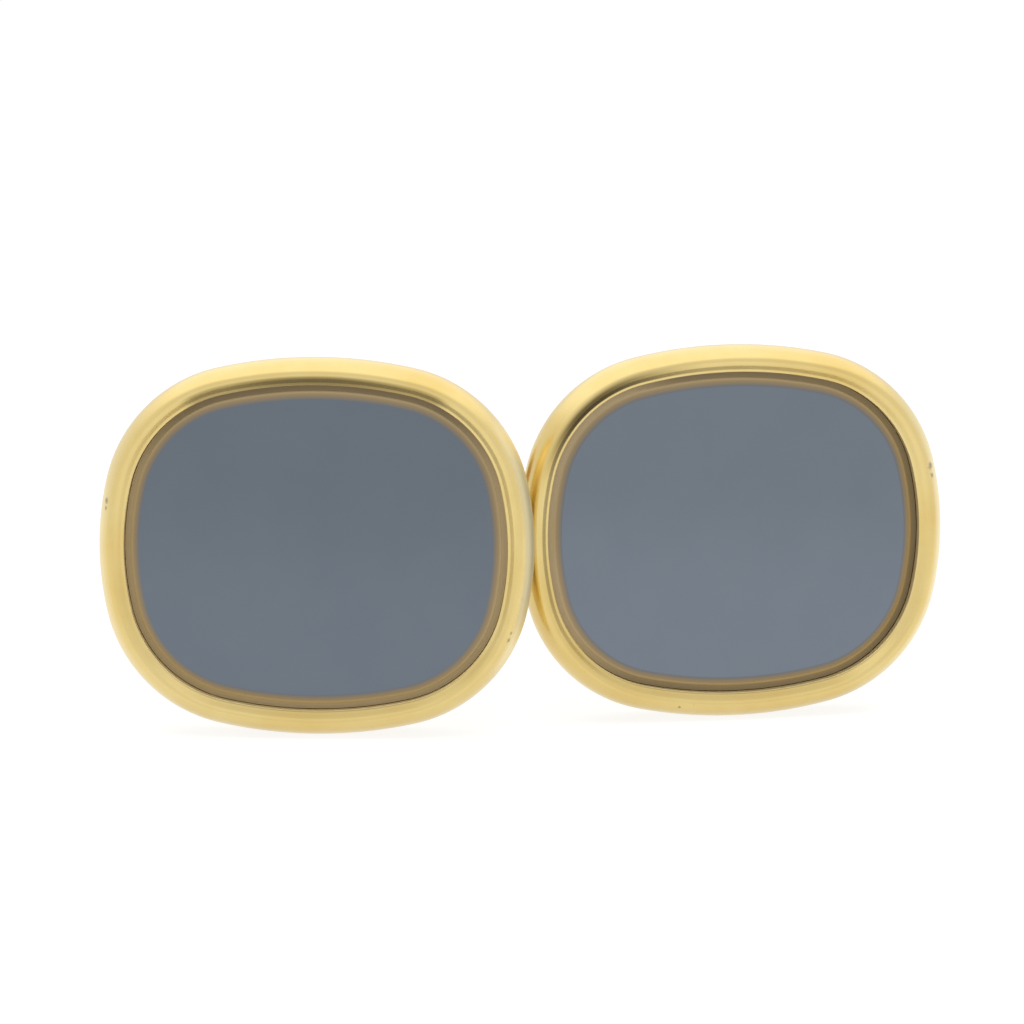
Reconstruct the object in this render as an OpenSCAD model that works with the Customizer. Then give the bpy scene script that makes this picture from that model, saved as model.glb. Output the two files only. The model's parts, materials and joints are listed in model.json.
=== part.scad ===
// A pair of cushion-shaped cufflinks, gilt frames with a bevelled dark stone tablet in each.
// Each one stands on the lower edge of its head and on the lower end of its swivel bar.
// Sizes are in millimetres. Every piece is drawn lying face up, with z = 0 at the crown of
// the frame and the back below it, and is then stood up in its place in the pair.

/* [Head outline] */
// Width of a head
head_w = 18; // [14:0.1:22]
// Height of a head
head_h = 15.7; // [13.6:0.1:18]
// Radius of the long top and bottom sides
long_side_r = 18.6; // [16:0.2:26]
// Radius of the left and right sides
short_side_r = 12.5; // [11:0.5:22]
// Radius of the rounded corners
corner_r = 6.1; // [5.4:0.05:6.6]

/* [Frame] */
// Where the frame is widest, behind its crown, as a share of its depth
widest_share = 0.46; // [0.45:0.01:0.5]
// Radius of the swelling outer wall
wall_r = 1.5; // [1.4:0.05:1.8]
// Radius of the crown
crown_r = 0.3; // [0.25:0.05:0.4]
// Angle of the slope that runs from the crown down to the stone
inner_slope = 45; // [35:1:50]
// Width of that slope's straight part
inner_slope_w = 0.26; // [0.2:0.01:0.35]
// Undercut of the recess behind the ledge
recess_step = 0.18; // [0.12:0.02:0.24]

/* [Stone] */
// Depth of the stone's face behind the crown
stone_set = 0.5; // [0.4:0.02:0.56]
// Thickness of the stone
stone_t = 1; // [0.8:0.05:1.1]
// Width of the outer bevel that shows inside the frame
outer_bevel_w = 0.27; // [0.2:0.01:0.35]
// Rise of the outer bevel
outer_bevel_rise = 0.13; // [0.1:0.01:0.16]
// Width of the inner bevel
inner_bevel_w = 0.35; // [0.2:0.01:0.45]
// Rise of the inner bevel
inner_bevel_rise = 0.12; // [0.08:0.01:0.14]

/* [Back of the head] */
// Thickness of the cement under the stone
cement_t = 0.2; // [0.1:0.05:0.3]
// Inset of the cement from the stone's edge
cement_inset = 0.3; // [0.1:0.05:1]
// Thickness of the back plate
plate_t = 0.6; // [0.5:0.05:0.7]
// How far the plate sits inside the frame's rear edge
plate_sink = 0.1; // [0.05:0.05:0.15]
// Diameter of the round foot under the yoke
foot_d = 5.8; // [5:0.1:7]
// Thickness of the foot
foot_t = 0.5; // [0.4:0.05:1]

/* [Yoke] */
// Width of the yoke's strap
strap_w = 3; // [2.4:0.1:4]
// Thickness of the strap
strap_t = 0.7; // [0.6:0.05:1]
// Inner radius of the strap's bends
bend_r = 0.8; // [0.5:0.1:1.2]
// Room between the yoke's bridge and the end of the bar as it turns
turn_gap = 1.75; // [1.2:0.05:4]

/* [Pivot pin] */
// Diameter of the pin
pin_d = 1.4; // [1.1:0.05:1.6]
// Diameter of its peened heads
pin_head_d = 2.2; // [1.9:0.05:2.6]
// Height of its peened heads
pin_head_h = 0.3; // [0.2:0.05:0.4]

/* [Swivel bar] */
// Diameter of the bar
bar_d = 4.5; // [4.2:0.1:5]
// Length of the bar over its round ends
bar_l = 16.5; // [15:0.1:17]
// Wall of the bar's tube
bar_wall = 0.4; // [0.35:0.05:0.5]
// Length of each end cap's straight rim
cap_rim = 0.4; // [0.3:0.05:0.6]
// Length of each end cap's plug inside the tube
cap_plug = 1; // [0.8:0.1:1.4]
// Angle of the bar from the line of the yoke, as it props the head up
bar_angle = 45; // [30:1:50]

/* [Friction spring] */
// Thickness of the leaf
leaf_t = 0.2; // [0.15:0.01:0.25]
// Width of the leaf
leaf_w = 1.2; // [1:0.05:1.3]
// Gap between each end of the leaf and the cap's plug
leaf_end_gap = 0.6; // [0.3:0.1:1]

/* [Fits] */
// Clearance of the stone and the plate in the frame
seat_gap = 0.03; // [0.02:0.01:0.05]
// Radial clearance of the pin in the yoke
rivet_gap = 0.01; // [0.01:0.01:0.02]
// Radial clearance of the pin in the bar
pivot_gap = 0.04; // [0.02:0.01:0.06]
// Gap between the bar and each arm of the yoke
arm_gap = 0.12; // [0.08:0.01:0.2]
// Radial clearance of the caps' plugs in the tube
plug_gap = 0.01; // [0.01:0.01:0.02]
// Gap between the leaf and the pin, and between its raised ends and the tube's wall
leaf_gap = 0.02; // [0.01:0.01:0.04]

/* [The pair] */
// How far the right head's edge tucks in behind the left head's
head_overlap = 0.65; // [0:0.05:0.8]
// Gap between the two heads
head_gap = 0.1; // [0.05:0.05:0.5]
// Turn of the left cufflink
left_yaw = -1.5; // [-3:0.5:3]
// Turn of the right cufflink
right_yaw = 9; // [0:0.5:12]

/* [Hidden] */
$fn = 96;

gilt = "gold";
stone_grey = "slategray";
cement_grey = "darkgray";
spring_steel = "silver";

// Steps of a drawn arc, which keep it within 0.01 mm of the true curve
profile_steps = 7;
corner_steps = 12;
half_side_steps = 4;
// How far a cut runs past what it cuts
overrun = 0.5;

// Half sizes
half_w = head_w / 2;
half_h = head_h / 2;
bar_r = bar_d / 2;
pin_r = pin_d / 2;

// The outline is eight arcs that run smoothly into each other: a long arc at the top and the
// bottom, one at each side, and a corner arc whose centre lies on the radius of both neighbours.
long_centre = [0, half_h - long_side_r];
short_centre = [half_w - short_side_r, 0];
centre_span = norm(short_centre - long_centre);
centre_dir = (short_centre - long_centre) / centre_span;
to_long = long_side_r - corner_r;
to_short = short_side_r - corner_r;
along = (centre_span ^ 2 + to_long ^ 2 - to_short ^ 2) / (2 * centre_span);
aside = sqrt(to_long ^ 2 - along ^ 2);
corner_centre = long_centre + centre_dir * along + [centre_dir.y, -centre_dir.x] * aside;
long_end = atan2(corner_centre.y - long_centre.y, corner_centre.x - long_centre.x);
short_end = atan2(corner_centre.y - short_centre.y, corner_centre.x - short_centre.x);

// Places along the depth of a head
stone_back = stone_set + stone_t;
cement_back = stone_back + cement_t;
plate_back = cement_back + plate_t;
frame_depth = plate_back + plate_sink;
frame_widest = frame_depth * widest_share;
foot_back = plate_back + foot_t;
bridge_back = foot_back + strap_t;
pivot_depth = bridge_back + turn_gap + bar_l / 2;

// Frame section: the crown's circle touches the wall's circle from inside, and runs smoothly into
// the straight slope down to the lip that holds the stone
crown_out = wall_r - sqrt((wall_r - crown_r) ^ 2 - (frame_widest - crown_r) ^ 2);
lip_out = crown_out + crown_r * sin(inner_slope) + inner_slope_w;
lip_depth = crown_r * (1 - cos(inner_slope)) + inner_slope_w * tan(inner_slope);
recess_out = lip_out - recess_step;
blend_angle = atan2(frame_widest - crown_r, wall_r - crown_out);
rear_angle = asin((frame_depth - frame_widest) / wall_r);

// The stone and the back plate sit in the recess. The stone's outer bevel runs on under the
// ledge, one clearance behind the ledge's edge.
seat_in = recess_out + seat_gap;
bevel_foot = stone_set + inner_bevel_rise + outer_bevel_rise;
ledge_depth = bevel_foot - seat_gap;
girdle_depth = bevel_foot + (lip_out - seat_in) * outer_bevel_rise / outer_bevel_w;

// Yoke
arm_in = bar_r + arm_gap;
arm_out = arm_in + strap_t;

// Bar
tube_half = bar_l / 2 - bar_r - cap_rim;
tube_bore_r = bar_r - bar_wall;
leaf_l = 2 * (tube_half - cap_plug - leaf_end_gap);
leaf_bottom = pin_r + leaf_gap;
leaf_top = sqrt((tube_bore_r - leaf_gap) ^ 2 - (leaf_w / 2) ^ 2);
leaf_rise = leaf_top - leaf_bottom - leaf_t;
leaf_bow_r = ((leaf_l / 2) ^ 2 + leaf_rise ^ 2) / (2 * leaf_rise);

// Stance. Both supports are circles seen from the side: the wall of the frame at the bottom of
// the head, and the round lower end of the bar. The table touches both of them.
head_rest = [frame_widest, wall_r - half_h];
bar_reach = bar_l / 2 - bar_r;
bar_rest = [pivot_depth + bar_reach * cos(bar_angle), -bar_reach * sin(bar_angle)];
rest_span = bar_rest - head_rest;
lean = atan2(rest_span.y, rest_span.x) - asin((bar_r - wall_r) / norm(rest_span));
stand_h = wall_r + head_rest.x * sin(lean) - head_rest.y * cos(lean);

// Place across and back of a point that lies at p on the head and at a depth behind its crown
function stood(p, depth, yaw) = let (back = depth * cos(lean) + p.y * sin(lean))
    [p.x * cos(yaw) - back * sin(yaw), p.x * sin(yaw) + back * cos(yaw)];

// The right head tucks in behind the left one. Their walls are circles seen from above, and
// one gap lies between them.
step_across = 2 * wall_r - head_overlap;
step_back = sqrt((2 * wall_r + head_gap) ^ 2 - step_across ^ 2);
right_place = stood([half_w - wall_r, 0], frame_widest, left_yaw)
    - stood([wall_r - half_w, 0], frame_widest, right_yaw) + [step_across, step_back];

// The box of the standing pair, so that it can be centred
left_edge = min([for (p = outline(wall_r)) stood(p, frame_widest, left_yaw).x]) - wall_r;
right_edge = right_place.x + wall_r
    + max([for (p = outline(wall_r)) stood(p, frame_widest, right_yaw).x]);
front_edge = min([for (p = outline(crown_out)) stood(p, crown_r, left_yaw).y]) - crown_r;
back_edge = right_place.y + bar_r + stood([0, bar_rest.y], bar_rest.x, right_yaw).y;
pair_mid = [(left_edge + right_edge) / 2, (front_edge + back_edge) / 2, 0];

// Points of an arc about c, from one angle to another
function arc(c, r, from, to, steps, first = 0) =
    [for (i = [first:steps]) let (turn = from + (to - from) * i / steps) c + r * [cos(turn), sin(turn)]];

// A quarter of the outline, drawn in by an inset, from the right-hand side to the top
function quarter(inset) = concat(
    arc(short_centre, short_side_r - inset, 0, short_end, half_side_steps),
    arc(corner_centre, corner_r - inset, short_end, long_end, corner_steps, 1),
    arc(long_centre, long_side_r - inset, long_end, 90, half_side_steps, 1)
);

// The whole outline, drawn in by an inset
function outline(inset) = let (q = quarter(inset), n = len(q)) concat(
    q,
    [for (i = [1:n - 1]) [-q[n - 1 - i].x, q[n - 1 - i].y]],
    [for (i = [1:n - 1]) -q[i]],
    [for (i = [1:n - 2]) [q[n - 1 - i].x, -q[n - 1 - i].y]]
);

// A flat slab of the head's outline, between two depths
module cushion_slab(inset, front, back) {
    translate([0, 0, -back])
        linear_extrude(back - front)
            polygon(outline(inset));
}

// A solid through rings of the outline; each ring is [inset, depth], and the outer ones run
// from front to back. It is closed by a face at each end, or else by joining the last ring to
// the first, as a hollow frame.
module cushion_loft(rings, hollow = false) {
    count = len(outline(0));
    last = len(rings) - 1;
    points = [for (ring = rings) for (p = outline(ring[0])) [p.x, p.y, -ring[1]]];
    sides = [for (k = [0:hollow ? last : last - 1]) for (i = [0:count - 1])
        let (j = (i + 1) % count, next = (k + 1) % len(rings))
        [k * count + i, k * count + j, next * count + j, next * count + i]];
    front = [for (i = [count - 1:-1:0]) i];
    back = [for (i = [0:count - 1]) last * count + i];
    polyhedron(points, hollow ? sides : concat(sides, [front, back]), convexity = 6);
}

// Section of the frame as rings, from the lip over the crown and down the wall to the ledge
function frame_rings() = let (crown = [-crown_out, -crown_r], wall = [-wall_r, -frame_widest])
    [for (p = concat(
        [[-lip_out, -lip_depth]],
        arc(crown, crown_r, 90 + inner_slope, blend_angle, profile_steps),
        arc(wall, wall_r, blend_angle, 0, profile_steps, 1),
        arc(wall, wall_r, 0, -rear_angle, profile_steps, 1),
        [[-recess_out, -frame_depth], [-recess_out, -ledge_depth], [-lip_out, -ledge_depth]]
    )) -p];

// The gilt frame round the stone
module bezel() {
    color(gilt)
        cushion_loft(frame_rings(), hollow = true);
}

// The polished tablet, with two bevels in front and a straight edge in the recess
module stone() {
    middle_in = lip_out + outer_bevel_w;
    color(stone_grey)
        cushion_loft([
            [middle_in + inner_bevel_w, stone_set],
            [middle_in, stone_set + inner_bevel_rise],
            [seat_in, girdle_depth],
            [seat_in, stone_back]
        ]);
}

// The thin pad of cement that beds the stone on the back plate
module cement() {
    color(cement_grey)
        cushion_slab(seat_in + cement_inset, stone_back, cement_back);
}

// The plate that closes the back of the frame
module back_plate() {
    color(gilt)
        cushion_slab(seat_in, cement_back, plate_back);
}

// The round foot between the back plate and the yoke
module foot() {
    color(gilt)
        translate([0, 0, -foot_back])
            cylinder(h = foot_t, d = foot_d);
}

// Outline of the bent strap seen along its width, as a U that opens to the back
module strap_bend(half, front, r) {
    polygon(concat(
        arc([half - r, -front - r], r, 0, 90, profile_steps),
        arc([r - half, -front - r], r, 90, 180, profile_steps),
        [[-half, -pivot_depth - strap_w], [half, -pivot_depth - strap_w]]
    ));
}

// The yoke: one strap bent to a U, whose two arms carry the pivot pin
module yoke() {
    color(gilt)
        difference() {
            intersection() {
                rotate([90, 0, 0])
                    linear_extrude(strap_w, center = true)
                        difference() {
                            strap_bend(arm_out, foot_back, bend_r + strap_t);
                            strap_bend(arm_in, bridge_back, bend_r);
                        }
                union() {
                    translate([0, 0, -pivot_depth])
                        rotate([0, 90, 0])
                            cylinder(h = 2 * arm_out + overrun, d = strap_w, center = true);
                    translate([-arm_out - overrun, -strap_w / 2, -pivot_depth])
                        cube([2 * (arm_out + overrun), strap_w, pivot_depth]);
                }
            }
            translate([0, 0, -pivot_depth])
                rotate([0, 90, 0])
                    cylinder(h = 2 * (arm_out + overrun), r = pin_r + rivet_gap, center = true);
        }
}

// The pivot pin, peened over outside both arms
module pivot_pin() {
    head_r = pin_head_d / 2;
    dome_r = (head_r ^ 2 + pin_head_h ^ 2) / (2 * pin_head_h);
    dome_angle = asin(head_r / dome_r);
    dome = arc([0, arm_out + pin_head_h - dome_r], dome_r, 90 - dome_angle, 90, profile_steps);
    side = concat([[pin_r, arm_out]], dome);
    color(gilt)
        translate([0, 0, -pivot_depth])
            rotate([0, 90, 0])
                rotate_extrude()
                    polygon(concat(side, [for (i = [len(side) - 1:-1:0]) [side[i].x, -side[i].y]]));
}

// Carries the bar's pieces, drawn along z about the pivot, to the pivot at the bar's angle
module at_pivot() {
    translate([0, 0, -pivot_depth])
        rotate([-bar_angle, 0, 0])
            children();
}

// The bar's tube, bored across for the pin
module bar_tube() {
    color(gilt)
        at_pivot()
            difference() {
                cylinder(h = 2 * tube_half, r = bar_r, center = true);
                cylinder(h = 2 * (tube_half + overrun), r = tube_bore_r, center = true);
                rotate([0, 90, 0])
                    cylinder(h = bar_d + overrun, r = pin_r + pivot_gap, center = true);
            }
}

// A round end cap, plugged into the tube
module bar_cap() {
    plug_r = tube_bore_r - plug_gap;
    color(gilt)
        translate([0, 0, tube_half])
            rotate_extrude()
                polygon(concat(
                    [[0, -cap_plug], [plug_r, -cap_plug], [plug_r, 0], [bar_r, 0]],
                    arc([0, cap_rim], bar_r, 0, 90, 2 * profile_steps)
                ));
}

module bar_upper_cap() {
    at_pivot()
        bar_cap();
}

module bar_lower_cap() {
    at_pivot()
        mirror([0, 0, 1])
            bar_cap();
}

// The bowed leaf inside the tube, whose middle presses on the pin so that the bar stays put
module friction_leaf() {
    color(spring_steel)
        at_pivot()
            rotate([0, 90, 0])
                linear_extrude(leaf_w, center = true)
                    intersection() {
                        translate([0, leaf_bottom + leaf_bow_r])
                            difference() {
                                circle(r = leaf_bow_r);
                                circle(r = leaf_bow_r - leaf_t);
                            }
                        translate([-leaf_l / 2, leaf_bottom - overrun])
                            square([leaf_l, leaf_rise + leaf_t + overrun]);
                    }
}

// Stands a face-up piece on the table, in the left place and in the right place
module stand(at, yaw) {
    translate([at.x, at.y, stand_h] - pair_mid)
        rotate([0, 0, yaw])
            rotate([90 - lean, 0, 0])
                children();
}

module on_left() {
    stand([0, 0], left_yaw)
        children();
}

module on_right() {
    stand(right_place, right_yaw)
        children();
}

on_left() bezel();  // left_bezel
on_left() stone();  // left_stone
on_left() cement();  // left_cement
on_left() back_plate();  // left_back_plate
on_left() foot();  // left_foot
on_left() yoke();  // left_yoke
on_left() pivot_pin();  // left_pivot_pin
on_left() bar_tube();  // left_bar_tube
on_left() bar_upper_cap();  // left_bar_upper_cap
on_left() bar_lower_cap();  // left_bar_lower_cap
on_left() friction_leaf();  // left_friction_leaf
on_right() bezel();  // right_bezel
on_right() stone();  // right_stone
on_right() cement();  // right_cement
on_right() back_plate();  // right_back_plate
on_right() foot();  // right_foot
on_right() yoke();  // right_yoke
on_right() pivot_pin();  // right_pivot_pin
on_right() bar_tube();  // right_bar_tube
on_right() bar_upper_cap();  // right_bar_upper_cap
on_right() bar_lower_cap();  // right_bar_lower_cap
on_right() friction_leaf();  // right_friction_leaf
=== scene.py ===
import json
import math

import bmesh
import bpy
from mathutils import Matrix, Vector


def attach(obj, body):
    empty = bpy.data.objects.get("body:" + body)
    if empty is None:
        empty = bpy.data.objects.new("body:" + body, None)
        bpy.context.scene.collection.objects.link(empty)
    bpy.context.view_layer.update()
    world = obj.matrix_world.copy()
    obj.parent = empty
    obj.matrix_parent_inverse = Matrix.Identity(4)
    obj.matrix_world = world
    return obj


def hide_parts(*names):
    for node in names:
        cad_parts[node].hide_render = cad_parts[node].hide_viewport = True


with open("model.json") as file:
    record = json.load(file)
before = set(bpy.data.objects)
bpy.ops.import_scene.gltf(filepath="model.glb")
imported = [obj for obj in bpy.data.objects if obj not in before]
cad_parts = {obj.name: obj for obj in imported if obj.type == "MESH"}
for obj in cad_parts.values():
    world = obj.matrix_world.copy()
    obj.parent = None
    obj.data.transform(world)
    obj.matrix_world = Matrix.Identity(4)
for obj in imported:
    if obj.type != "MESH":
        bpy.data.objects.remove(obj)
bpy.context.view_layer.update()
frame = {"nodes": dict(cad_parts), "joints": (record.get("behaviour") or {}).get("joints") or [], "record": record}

# Table, light and camera
# The pair stands on a plain pale table under one wide soft box, in a light room. The camera looks
# a little down at the faces from in front, through a long lens.
scene = bpy.context.scene
scene.view_settings.view_transform = "Standard"

# The camera's place and lens were fitted to the outlines of both heads
CAMERA_ELEVATION = math.radians(12.186)
CAMERA_DISTANCE = 0.180
CAMERA_RAISE = 0.001545
CAMERA_AIM = Vector((-0.000517, -0.010868, 0.007927))
CAMERA_LENS = 154.08
camera_data = bpy.data.cameras.new("photo_camera")
camera_data.sensor_width = 36.0
camera_data.lens = CAMERA_LENS
camera_data.clip_start = 0.01
camera_data.clip_end = 20.0
camera = bpy.data.objects.new("photo_camera", camera_data)
scene.collection.objects.link(camera)
towards_camera = Vector((0.0, -math.cos(CAMERA_ELEVATION), math.sin(CAMERA_ELEVATION)))
camera_up = Vector((0.0, math.sin(CAMERA_ELEVATION), math.cos(CAMERA_ELEVATION)))
camera.location = CAMERA_AIM + towards_camera * CAMERA_DISTANCE + camera_up * CAMERA_RAISE
camera.rotation_euler = (math.pi / 2 - CAMERA_ELEVATION, 0.0, 0.0)
scene.camera = camera


def add_node(tree, kind, inputs=None, **settings):
    """A shader node with its settings, and with values or links for its inputs."""
    node = tree.nodes.new(kind)
    for name, value in settings.items():
        setattr(node, name, value)
    for name, value in (inputs or {}).items():
        if isinstance(value, bpy.types.NodeSocket):
            tree.links.new(value, node.inputs[name])
        else:
            node.inputs[name].default_value = value
    return node


def calculate(tree, operation, *values):
    """What a Math node makes of its values."""
    return add_node(tree, "ShaderNodeMath", dict(enumerate(values)), operation=operation).outputs[0]


def spread(tree, value, start, end, low=0.0, high=1.0, curve="LINEAR"):
    """The low number where a value is at its start, the high one where it is at its end."""
    inputs = {"Value": value, "From Min": start, "From Max": end, "To Min": low, "To Max": high}
    return add_node(tree, "ShaderNodeMapRange", inputs, interpolation_type=curve).outputs[0]


def shown_rays(tree):
    """1 for rays from the camera, off metal or through glass, and 0 for rays that only light."""
    paths = add_node(tree, "ShaderNodeLightPath").outputs
    direct = calculate(tree, "MAXIMUM", paths["Is Camera Ray"], paths["Is Glossy Ray"])
    return calculate(tree, "MAXIMUM", direct, paths["Is Transmission Ray"])


# Polished metal mirrors the white room, which is brighter overhead
WHITE = (1.0, 1.0, 1.0, 1.0)
ROOM_LEVEL = 0.62
OVERHEAD_LEVEL = 0.42
OVERHEAD_START, OVERHEAD_FULL = 0.5, 0.9
OVERHEAD_BEHIND = 0.4
room = bpy.data.worlds.new("light_room")
room.use_nodes = True
tree = room.node_tree
tree.nodes.clear()
direction = add_node(tree, "ShaderNodeTexCoord").outputs["Generated"]
parts = add_node(tree, "ShaderNodeSeparateXYZ", {0: direction}).outputs
behind = calculate(tree, "MAXIMUM", parts["Y"], 0.0)
height = calculate(tree, "MULTIPLY_ADD", behind, OVERHEAD_BEHIND, parts["Z"])
overhead = spread(tree, height, OVERHEAD_START, OVERHEAD_FULL, 0.0, OVERHEAD_LEVEL, curve="SMOOTHSTEP")
mirrored = add_node(tree, "ShaderNodeLightPath").outputs["Is Glossy Ray"]
white_level = calculate(tree, "MULTIPLY_ADD", overhead, mirrored, 1.0)
room_light = add_node(tree, "ShaderNodeBackground", {"Color": WHITE, "Strength": ROOM_LEVEL})
room_white = add_node(tree, "ShaderNodeBackground", {"Color": WHITE, "Strength": white_level})
room_mix = add_node(tree, "ShaderNodeMixShader",
                    {0: shown_rays(tree), 1: room_light.outputs[0], 2: room_white.outputs[0]})
add_node(tree, "ShaderNodeOutputWorld", {"Surface": room_mix.outputs[0]})
scene.world = room


def new_finish(name):
    """A material with nothing in it yet, as (material, node tree)."""
    finish = bpy.data.materials.new(name)
    finish.use_nodes = True
    finish.node_tree.nodes.clear()
    return finish, finish.node_tree


# The table shows nearly white, and keeps the shadow of the pair
TABLE_SIZE = 6.0
TABLE_BOUNCE = (0.8, 0.8, 0.8, 1.0)
TABLE_SHADE = (0.25, 0.25, 0.25, 1.0)
TABLE_LEVEL = 0.84
bpy.ops.object.select_all(action="DESELECT")
bpy.ops.mesh.primitive_plane_add(size=TABLE_SIZE, location=(0.0, 0.0, 0.0))
table = bpy.context.object
table.name = "table"
table_finish, tree = new_finish("pale_table")
table_bounce = add_node(tree, "ShaderNodeBsdfDiffuse", {"Color": TABLE_BOUNCE})
table_shade = add_node(tree, "ShaderNodeBsdfDiffuse", {"Color": TABLE_SHADE})
table_white = add_node(tree, "ShaderNodeEmission", {"Color": WHITE, "Strength": TABLE_LEVEL})
table_seen = add_node(tree, "ShaderNodeAddShader", {0: table_shade.outputs[0], 1: table_white.outputs[0]})
table_mix = add_node(tree, "ShaderNodeMixShader",
                     {0: shown_rays(tree), 1: table_bounce.outputs[0], 2: table_seen.outputs[0]})
add_node(tree, "ShaderNodeOutputMaterial", {"Surface": table_mix.outputs[0]})
table.data.materials.append(table_finish)

SOFT_BOX_SIZE = 0.22
SOFT_BOX_PLACE = (0.0, 0.01, 0.16)
SOFT_BOX_RADIANCE = 1.5
soft_box_data = bpy.data.lights.new("soft_box", "AREA")
soft_box_data.shape = "SQUARE"
soft_box_data.size = SOFT_BOX_SIZE
soft_box_data.energy = SOFT_BOX_RADIANCE * math.pi * SOFT_BOX_SIZE ** 2
soft_box = bpy.data.objects.new("soft_box", soft_box_data)
soft_box.location = SOFT_BOX_PLACE
soft_box.visible_glossy = False
scene.collection.objects.link(soft_box)

# Gilt frames
# Each head has a cushion-shaped frame of gilt brass, rolled to a soft crown near the stone and
# swelling out to a round wall. Its section is spun round the eight arcs of the outline in turn.
MM = 0.001
SIDES = ("left", "right")
PIVOT_DEPTH = 13.5
HEAD_WIDTH, HEAD_HEIGHT = 18.0, 15.7
LONG_RADIUS, SHORT_RADIUS, CORNER_RADIUS = 18.6, 12.5, 6.1

# A corner's centre lies on the radius of both its neighbours
LONG_CENTRE = Vector((0.0, HEAD_HEIGHT / 2 - LONG_RADIUS))
SHORT_CENTRE = Vector((HEAD_WIDTH / 2 - SHORT_RADIUS, 0.0))
centre_line = SHORT_CENTRE - LONG_CENTRE
centre_span, centre_way = centre_line.length, centre_line.normalized()
to_long, to_short = LONG_RADIUS - CORNER_RADIUS, SHORT_RADIUS - CORNER_RADIUS
along = (centre_span ** 2 + to_long ** 2 - to_short ** 2) / (2 * centre_span)
aside = math.sqrt(to_long ** 2 - along ** 2)
CORNER_CENTRE = LONG_CENTRE + centre_way * along + Vector((centre_way.y, -centre_way.x)) * aside
LONG_END = math.atan2(*(CORNER_CENTRE - LONG_CENTRE).yx)
SHORT_END = math.atan2(*(CORNER_CENTRE - SHORT_CENTRE).yx)

FRAME_DEPTH, LEDGE_DEPTH = 2.4, 0.72
WALL_RADIUS, WIDEST_SHARE = 1.5, 0.46
WALL_DEPTH = FRAME_DEPTH * WIDEST_SHARE
CROWN_RADIUS = 0.3
INNER_SLOPE = math.radians(45.0)
SLOPE_WIDTH = 0.26
RECESS_STEP = 0.18
LAND_WIDTH, LAND_FALL = 0.07, 0.012
REAR_EASE = 0.05

# The crown's circle touches the wall's circle from inside, and runs into the slope down to the stone
CROWN_INSET = WALL_RADIUS - math.sqrt((WALL_RADIUS - CROWN_RADIUS) ** 2 - (WALL_DEPTH - CROWN_RADIUS) ** 2)
CROWN_TO_WALL = math.atan2(WALL_DEPTH - CROWN_RADIUS, WALL_RADIUS - CROWN_INSET)
WALL_TO_REAR = -math.asin((FRAME_DEPTH - WALL_DEPTH) / WALL_RADIUS)
LIP_INSET = CROWN_INSET + CROWN_RADIUS * math.sin(INNER_SLOPE) + SLOPE_WIDTH
LIP_DEPTH = CROWN_RADIUS * (1.0 - math.cos(INNER_SLOPE)) + SLOPE_WIDTH * math.tan(INNER_SLOPE)
RECESS_INSET = LIP_INSET - RECESS_STEP


def stand_up(side):
    """The place in the pair of a piece that is modelled in millimetres, lying face up under the crown."""
    swivel = next(joint for joint in frame["joints"] if joint["name"] == f"{side}_bar_swivel")
    grip = next(mount for mount in frame["record"]["mounts"] if mount["name"] == f"{side}_cuff_grip")
    across, back = Vector(swivel["axis"]), Vector(grip["axis"])
    crown = Vector(swivel["pos_m"]) - back * PIVOT_DEPTH * MM
    axes = Matrix((across, across.cross(back), -back)).transposed()
    return Matrix.Translation(crown) @ axes.to_4x4() @ Matrix.Scale(MM, 4)


STANDING = {side: stand_up(side) for side in SIDES}


def arc(centre, radius, start, end, steps):
    """Points of an arc in a plane, both ends included."""
    turns = [start + (end - start) * i / steps for i in range(steps + 1)]
    return [(centre[0] + radius * math.cos(t), centre[1] + radius * math.sin(t)) for t in turns]


def start_piece():
    """Deselects everything, so that the next operators act on the new piece alone."""
    if bpy.context.object and bpy.context.object.mode == "EDIT":
        bpy.ops.object.mode_set(mode="OBJECT")
    bpy.ops.object.select_all(action="DESELECT")


def pick_up(piece):
    """Selects one piece alone and makes it the active one."""
    start_piece()
    piece.select_set(True)
    bpy.context.view_layer.objects.active = piece


def draw_ring(points):
    """A closed line through the points, drawn from a circle and left selected in edit mode."""
    start_piece()
    bpy.ops.mesh.primitive_circle_add(vertices=len(points), radius=1.0, fill_type="NOTHING")
    bpy.ops.object.mode_set(mode="EDIT")
    mesh = bmesh.from_edit_mesh(bpy.context.object.data)
    mesh.verts.ensure_lookup_table()
    for vert, point in zip(mesh.verts, points):
        vert.co = point
    bmesh.update_edit_mesh(bpy.context.object.data)
    bpy.ops.mesh.select_all(action="SELECT")
    return bpy.context.object


def close_piece(merge=1e-5):
    """Merges what lies together, turns every face outwards and leaves edit mode."""
    bpy.ops.mesh.select_all(action="SELECT")
    bpy.ops.mesh.remove_doubles(threshold=merge)
    bpy.ops.mesh.normals_make_consistent(inside=False)
    bpy.ops.object.mode_set(mode="OBJECT")


def put_in_place(model, name, node, body, finish, turned=Matrix.Identity(4), smooth=30.0):
    """Copies a finished model to both cufflinks and fixes the copies to their bodies, as {side: piece}."""
    copies = {}
    pick_up(model)
    bpy.ops.object.shade_smooth_by_angle(angle=math.radians(smooth))
    model.data.materials.clear()
    model.data.materials.append(finish)
    for side in SIDES:
        pick_up(model)
        bpy.ops.object.duplicate(linked=False)
        piece = bpy.context.object
        piece.name = f"{side}_{name}"
        piece.data.name = piece.name
        piece.matrix_world = STANDING[side] @ turned
        bpy.ops.object.transform_apply(location=True, rotation=True, scale=True)
        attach(piece, f"{side}_{body}")
        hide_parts(f"{side}_{node}")
        copies[side] = piece
    bpy.data.objects.remove(model)
    return copies


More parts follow.
